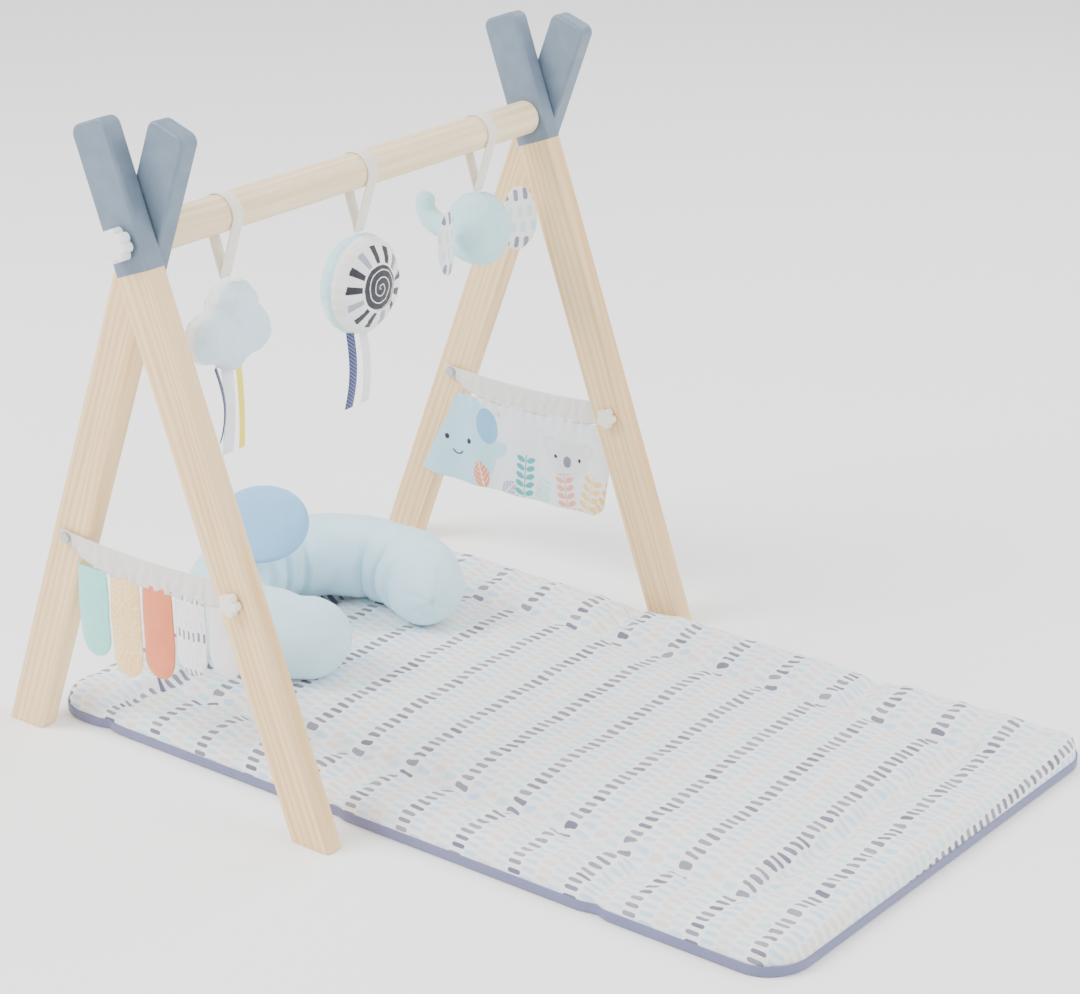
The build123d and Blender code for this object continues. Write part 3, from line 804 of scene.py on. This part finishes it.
flap_low, flap_high = corners("bolster_ear")
flap_centre = (flap_low + flap_high) / 2
flap_normal = Vector((0.54, -0.65, 0.54)).normalized()
flap_across = Vector((0, 0, 1)).cross(flap_normal).normalized()
flap_up = flap_normal.cross(flap_across)
ear_blue = cloth("ear_cotton", (0.26, 0.53, 0.84), weave=1000)
points = []
rings, spokes = 16, 64
for layer in (1, -1):
    for ring in range(rings + 1):
        share = ring / rings
        for spoke in range(spokes):
            angle = 2 * pi * spoke / spokes
            lobe = 1 + 0.05 * cos(angle - 0.8) - 0.06 * max(0.0, sin(angle + 2.4)) ** 2
            u, v = 0.0455 * share * cos(angle) * lobe, 0.0395 * share * sin(angle) * lobe
            puff = 0.0042 * sqrt(max(0.0, 1 - share ** 3)) + 0.0003
            dish = -0.004 * share * share + 0.0025 * sin(3 * angle) * share ** 3
            points.append(flap_centre + flap_across * u + flap_up * v
                          + flap_normal * (layer * puff + dish))
flap = mesh_piece("bolster_ear_flap", points, disc_faces(rings, spokes), ear_blue)
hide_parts("bolster_ear")
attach(flap, "bolster_ear")

# ---- Side panel bands -------------------------------------------------------------------------
# A gathered linen band hangs between two toggles: in front of one leg, behind the other. Its ends
# narrow to tabs with an eyelet round the toggle's shank.
linen = cloth("band_linen", (0.78, 0.755, 0.73), weave=1300, relief=0.00035)
toggle_low, toggle_high = corners("near_outer_toggle")
toggle_x, toggle_z = (toggle_low.x + toggle_high.x) / 2, (toggle_low.z + toggle_high.z) / 2
drift = 0.006


def panel_middle(node_name):
    """The middle plane of a side panel, from its band's box."""
    low, high = corners(node_name)
    return (low.y + high.y) / 2


def panel_sheet(name, middle_y, left, right, top, bottom, cells_x, cells_z, ripple, thick, material):
    """A hanging sheet on the panel's slanting plane; top and bottom give heights along it."""
    points = []
    for i in range(cells_x + 1):
        share = i / cells_x
        for j in range(cells_z + 1):
            down = j / cells_z
            x = left(down) + (right(down) - left(down)) * share
            z = top(x) + (bottom(x) - top(x)) * down
            y = middle_y + drift * x / (2 * toggle_x) + ripple(x, down)
            points.append((x, y, z))
    piece = mesh_piece(name, points, grid_faces(cells_x + 1, cells_z + 1), material)
    apply_modifier(piece, "SOLIDIFY", thickness=thick, offset=0)
    return piece


def band_top(x):
    share = min(1.0, abs(x) / toggle_x)
    return toggle_z + 0.006 - 0.006 * (1 - share ** 2)


def band_bottom(x):
    share = min(1.0, abs(x) / 0.100)
    return toggle_z - 0.0060 - 0.0195 * (1 - share ** 4) ** 0.8


def gather(x, down):
    wander = noise.noise(Vector((x * 60, down * 2, 1)))
    return (0.0006 * sin(2 * pi * x / 0.0135 + 4 * wander) + 0.0005 * wander) * (0.3 + 0.7 * down)


for panel, fold in (("near", "near_fold"), ("far", "far_fold")):
    band = panel_sheet(f"{panel}_band_linen", panel_middle(f"{panel}_panel_band"),
                       lambda down: -toggle_x - 0.006, lambda down: toggle_x + 0.006,
                       band_top, band_bottom, 200, 14, gather, 0.0012, linen)
    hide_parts(f"{panel}_panel_band")
    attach(band, f"{panel}_panel")
    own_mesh(band)

# ---- Feathers ---------------------------------------------------------------------------------
# Five lightly stuffed tongues of cotton, each sewn into the near band's lower seam.
golden = cloth("golden_cotton", (0.95, 0.57, 0.20), second=(0.96, 0.66, 0.32))
nodes, link, shader = links(golden)
doodle_place = nodes.new("ShaderNodeTexCoord").outputs["Object"]
doodle = texture(nodes, link, "TexVoronoi", doodle_place, feature="DISTANCE_TO_EDGE", scale=210)
line = maths(nodes, link, "LESS_THAN", doodle.outputs["Distance"], 0.05)
golden_base = shader.inputs["Base Color"].links[0].from_socket
link.new(mixed(nodes, link, line, golden_base, (0.97, 0.80, 0.52)), shader.inputs["Base Color"])
feather_dashes = dash_print("feather_print", (0.87, 0.88, 0.91), 0.0120, 0.0056, 0.0092, 0.0024,
                            ((0.17, 0.17, 0.24), (0.66, 0.78, 0.88), (0.80, 0.77, 0.75)), axes="ZX")
feather_finishes = {
    "mint": (cloth("mint_cotton", (0.30, 0.77, 0.69)), "mint_cotton"),
    "golden": (golden, "golden_cotton"),
    "coral": (cloth("coral_cotton", (0.80, 0.22, 0.10)), "coral_cotton"),
    "dashed": (feather_dashes, "printed_cotton"),
    "plain": (cloth("plain_cotton", (0.80, 0.79, 0.79)), "linen"),
}
near_middle = panel_middle("near_panel_band")
for order, (feather_name, (finish, slot_name)) in enumerate(feather_finishes.items()):
    low, high = corners(f"{feather_name}_feather")
    middle_x, half_width = (low.x + high.x) / 2, (high.x - low.x) / 2
    length = high.z - low.z + 0.004
    points = []
    cells_x, cells_z = 22, 50
    for layer in (1, -1):
        for i in range(cells_x + 1):
            side = 2 * i / cells_x - 1
            for j in range(cells_z + 1):
                down = j / cells_z
                tongue = 0.93 + 0.07 * sin(pi * min(1, down * 1.1))
                tip = max(0.0, (down - 1 + half_width / length) * length / half_width)
                wide = half_width * tongue * sqrt(max(0.0, 1 - tip * tip))
                x = middle_x + side * wide
                z = high.z + 0.004 - length * down
                full = (1 - abs(side) ** 2.4) * min(1.0, 8 * (1 - down)) * min(1.0, 0.25 + 4 * down)
                y = near_middle + drift * x / (2 * toggle_x) - layer * 0.0021 * full
                y += 0.0009 * sin(3.2 * down * pi + order) * down
                points.append((x, y, z))
    rows, columns = cells_x + 1, cells_z + 1
    faces = grid_faces(rows, columns) + grid_faces(rows, columns, rows * columns)
    feather = mesh_piece(f"{feather_name}_feather_tongue", points, faces, finish)
    crumple(feather, 0.0004, 0.014, order + 1.0)
    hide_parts(f"{feather_name}_feather")
    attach(feather, f"{feather_name}_feather")
    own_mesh(feather)


# ---- Far panel cloth --------------------------------------------------------------------------
# Printed cotton sewn under the far band: a round-eared blue animal, a grey one and a row of leaves.
def in_ellipse(x, z, centre_x, centre_z, width, height, turn=0.0):
    """Less than 1 inside a turned ellipse."""
    dx, dz = x - centre_x, z - centre_z
    a = dx * cos(turn) + dz * sin(turn)
    b = -dx * sin(turn) + dz * cos(turn)
    return (a / width) ** 2 + (b / height) ** 2


def leaf(x, z, base_x, base_z, length, width, turn):
    """1 on a pointed leaf's blade, 2 on its pale veins, 0 elsewhere."""
    dx, dz = x - base_x, z - base_z
    along = dx * sin(turn) + dz * cos(turn)
    across = dx * cos(turn) - dz * sin(turn)
    if not 0 < along < length:
        return 0
    blade = width * sin(pi * along / length) ** 0.8
    if abs(across) > blade:
        return 0
    rib = abs(across) < 0.0006 or (abs((along - abs(across)) % 0.006) < 0.0007 and abs(across) > 0.001)
    return 2 if rib else 1


def frond(x, z, base_x, base_z, length, turn, leaflet):
    """1 on a stalk with round leaflets down both sides."""
    dx, dz = x - base_x, z - base_z
    along = dx * sin(turn) + dz * cos(turn)
    across = dx * cos(turn) - dz * sin(turn)
    if not -0.001 < along < length + leaflet:
        return 0
    if abs(across) < 0.0007:
        return 1
    pitch = leaflet * 1.5
    centre = round(along / pitch) * pitch
    inside = in_ellipse(abs(across), along, leaflet * 0.95, centre, leaflet * 0.85, leaflet * 0.5, 0.5) < 1
    return 1 if inside else 0


def print_colour(x, z, top):
    """The colour of the printed cloth at x, at depth z below its top edge."""
    depth = z - top
    colour, animal_blue, black = (0.84, 0.85, 0.87), (0.47, 0.74, 0.84), (0.02, 0.02, 0.03)
    for patch in ((-0.094, -0.050, 0.046, 0.058), (-0.118, -0.088, 0.042, 0.040),
                  (-0.050, -0.052, 0.018, 0.009, 0.5)):
        if in_ellipse(x, depth, *patch) < 1:
            colour = animal_blue
    if in_ellipse(x, depth, -0.060, -0.026, 0.013, 0.020, 0.2) < 1:
        colour = (0.22, 0.48, 0.72)
    for eye_x in (-0.112, -0.083):
        if in_ellipse(x, depth, eye_x, -0.048, 0.0028, 0.0032) < 1:
            colour = black
    smile = in_ellipse(x, depth, -0.098, -0.060, 0.0065, 0.0055)
    if 0.66 < smile < 1.25 and depth < -0.061:
        colour = black
    for ear_x in (0.020, 0.064):
        if in_ellipse(x, depth, ear_x, -0.028, 0.010, 0.009) < 1:
            colour = (0.74, 0.74, 0.77)
        if in_ellipse(x, depth, ear_x, -0.028, 0.006, 0.005) < 1:
            colour = (0.86, 0.80, 0.80)
    if in_ellipse(x, depth, 0.042, -0.042, 0.025, 0.021) < 1:
        colour = (0.78, 0.78, 0.80)
    if in_ellipse(x, depth, 0.042, -0.044, 0.0045, 0.0065) < 1:
        colour = (0.20, 0.21, 0.26)
    for eye_x in (0.028, 0.056):
        if in_ellipse(x, depth, eye_x, -0.040, 0.0020, 0.0022) < 1:
            colour = black
    leaves = ((-0.062, -0.099, 0.034, 0.0095, -0.25, (0.82, 0.28, 0.15)),
              (-0.040, -0.100, 0.026, 0.0090, 0.75, (0.42, 0.46, 0.54)),
              (0.020, -0.100, 0.030, 0.0085, -0.55, (0.56, 0.80, 0.76)),
              (0.098, -0.090, 0.026, 0.0075, 0.35, (0.92, 0.62, 0.25)))
    for base_x, base_z, length, width, turn, tint in leaves:
        mark = leaf(x, depth, base_x, base_z, length, width, turn)
        if mark:
            colour = tint if mark == 1 else (0.93, 0.91, 0.88)
    fronds = ((-0.012, -0.099, 0.046, 0.05, 0.0062, (0.08, 0.42, 0.42)),
              (0.006, -0.099, 0.026, 0.35, 0.0052, (0.55, 0.80, 0.74)),
              (0.044, -0.099, 0.036, -0.15, 0.0058, (0.88, 0.40, 0.30)),
              (0.066, -0.098, 0.040, 0.20, 0.0066, (0.95, 0.62, 0.22)),
              (0.084, -0.096, 0.034, 0.42, 0.0060, (0.93, 0.54, 0.20)))
    for base_x, base_z, length, turn, leaflet, tint in fronds:
        if frond(x, depth, base_x, base_z, length, turn, leaflet):
            colour = tint
    for spark_x, spark_z, tint in ((-0.046, -0.010, (0.83, 0.25, 0.22)), (0.008, -0.016, (0.92, 0.66, 0.70)),
                                   (0.078, -0.012, (0.92, 0.66, 0.70))):
        dx, dz = x - spark_x, depth - spark_z
        reach = sqrt(dx * dx + dz * dz)
        if reach < 0.0042 and (reach < 0.001 or abs(sin(3 * atan2(dz, dx))) < 0.42):
            colour = tint
    return colour


cloth_low, cloth_high = corners("far_panel_cloth")
far_middle = panel_middle("far_panel_band")
print_cloth = cloth("panel_print", (0.86, 0.87, 0.89))
nodes, link, shader = links(print_cloth)
inks = nodes.new("ShaderNodeVertexColor")
inks.layer_name = "inks"
worn = shader.inputs["Base Color"].links[0].from_socket
mottled = mixed(nodes, link, 0.5, inks.outputs["Color"], worn, "MULTIPLY")
link.new(mottled, shader.inputs["Base Color"])
sheet_top = cloth_high.z + 0.004
far_cloth = panel_sheet(
    "far_cloth_print", far_middle,
    lambda down: -0.099 - 0.047 * down,
    lambda down: 0.099 - 0.012 * down - 0.012 * max(0.0, (down - 0.88) / 0.12) ** 2,
    lambda x: sheet_top,
    lambda x: cloth_low.z + 0.002 + 0.004 * max(0.0, (abs(x) - 0.07) / 0.07) ** 2,
    300, 130,
    lambda x, down: 0.0016 * sin(2 * pi * x / 0.052 + 1.0) * (0.4 + 0.6 * down)
    + 0.0006 * sin(2 * pi * x / 0.0125) * max(0.0, 1 - 5 * down), 0.0010, print_cloth)
ink_layer = far_cloth.data.color_attributes.new("inks", "FLOAT_COLOR", "POINT")
back_grey = (0.66, 0.65, 0.65)
for vertex in far_cloth.data.vertices:
    behind = vertex.normal.y > 0.2
    ink = back_grey if behind else print_colour(vertex.co.x, vertex.co.z, cloth_high.z)
    ink_layer.data[vertex.index].color = (*ink, 1)
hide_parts("far_panel_cloth")
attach(far_cloth, "far_panel")
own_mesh(far_cloth)
